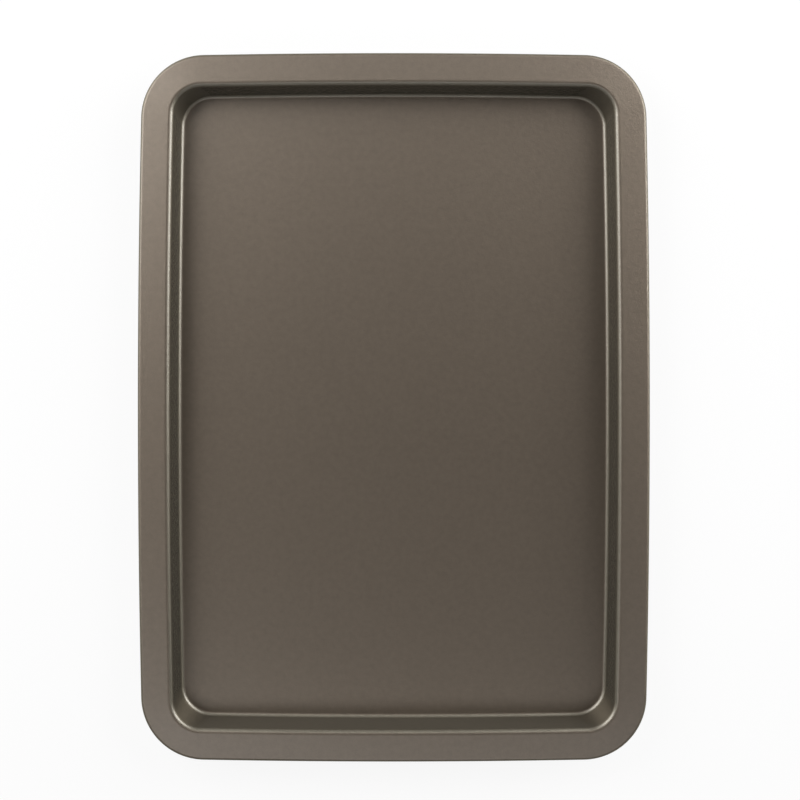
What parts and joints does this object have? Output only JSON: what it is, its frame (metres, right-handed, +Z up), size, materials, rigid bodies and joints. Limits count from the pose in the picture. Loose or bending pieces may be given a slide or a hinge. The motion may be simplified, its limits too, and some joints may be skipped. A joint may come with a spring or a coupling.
{
  "type": "cookie sheet",
  "caption": "Shallow rectangular oven tray of coated pressed steel, with drafted walls, rounded corners, a wide rim that falls slightly outwards and an edge rolled round a wire.",
  "frame": {"origin": "middle of the floor's underside, on the surface that the tray stands on", "axes": "+Z up, out of the open side; +Y along the long sides; +X along the short sides"},
  "size_m": [0.266, 0.368, 0.019],
  "materials": {
    "nonstick_coat": "satin",
    "wire_steel": "satin"
  },
  "bodies": {
    "root": {"tray_shell": "nonstick_coat", "rim_wire": "wire_steel"}
  },
  "joints": []
}
